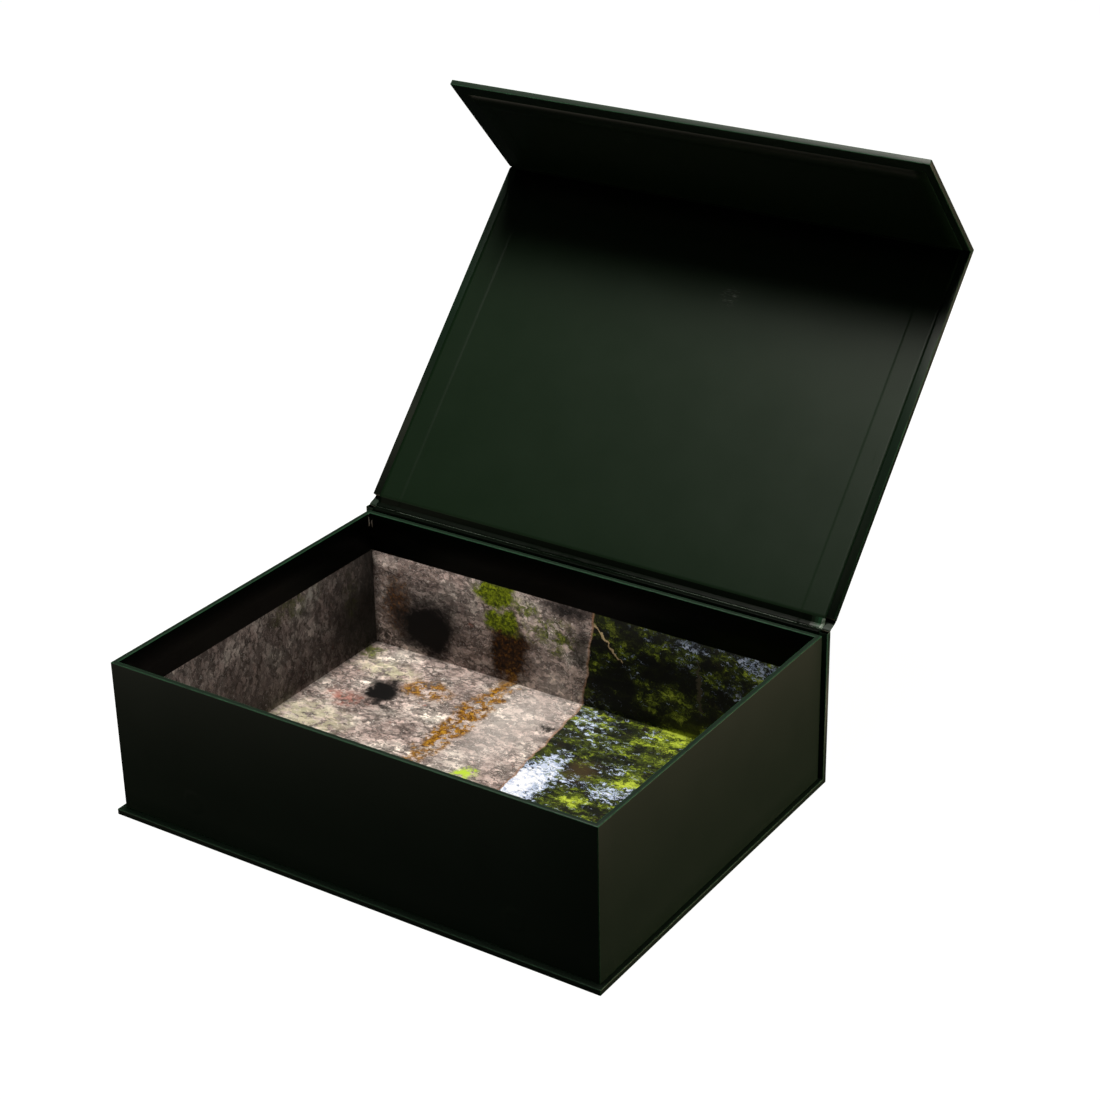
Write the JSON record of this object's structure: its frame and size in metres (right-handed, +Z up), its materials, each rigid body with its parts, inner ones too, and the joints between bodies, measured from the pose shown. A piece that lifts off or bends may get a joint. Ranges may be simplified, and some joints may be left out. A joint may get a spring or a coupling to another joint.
{
  "type": "jigsaw puzzle box",
  "caption": "Rigid paper-covered box for a jigsaw puzzle, with a picture-lined tray glued into a hinged book-style case whose front flap is held shut by magnets.",
  "frame": {"origin": "on the underside of the case, below the centre of the tray's footprint", "axes": "+X to the right across the box, +Y from the front flap side to the hinge at the back, +Z up out of the tray"},
  "size_m": [0.3056, 0.3836, 0.3243],
  "materials": {
    "green_cover": "matt laminated",
    "green_lining": "matt laminated",
    "picture_print": "offset print, satin varnish",
    "greyboard": "raw grey pulp board",
    "stay_paper": "kraft stay tape",
    "magnet_nickel": "nickel plated"
  },
  "bodies": {
    "tray": {"base_board": "greyboard", "base_cover_paper": "green_cover", "spine_board": "greyboard", "spine_cover_paper": "green_cover", "spine_lining_paper": "green_lining", "tray_floor_board": "greyboard", "tray_front_board": "greyboard", "tray_back_board": "greyboard", "tray_left_board": "greyboard", "tray_right_board": "greyboard", "corner_stay_front_left": "stay_paper", "corner_stay_front_right": "stay_paper", "corner_stay_back_left": "stay_paper", "corner_stay_back_right": "stay_paper", "tray_wrap_paper": "green_cover", "picture_lining": "picture_print", "tray_magnet_left": "magnet_nickel", "tray_magnet_right": "magnet_nickel", "lid_hinge_cover_paper": "green_cover", "lid_hinge_lining_paper": "green_lining"},
    "lid": {"lid_board": "greyboard", "lid_cover_paper": "green_cover", "lid_lining_paper": "green_lining", "flap_hinge_cover_paper": "green_cover", "flap_hinge_lining_paper": "green_lining"},
    "flap": {"flap_board": "greyboard", "flap_cover_paper": "green_cover", "flap_lining_paper": "green_lining", "flap_magnet_left": "magnet_nickel", "flap_magnet_right": "magnet_nickel"}
  },
  "joints": [
    {"name": "lid_hinge", "type": "hinge", "parent": "tray", "child": "lid", "pos_m": [0, 0.1137, 0.0928], "axis": [-1, 0, 0], "range_deg": [-133, 47], "deforming": ["lid_hinge_cover_paper", "lid_hinge_lining_paper"]},
    {"name": "flap_hinge", "type": "hinge", "parent": "lid", "child": "flap", "pos_m": [0, 0.27076, 0.25741], "axis": [-1, 0, 0], "range_deg": [-5, 85], "deforming": ["flap_hinge_cover_paper", "flap_hinge_lining_paper"]}
  ]
}
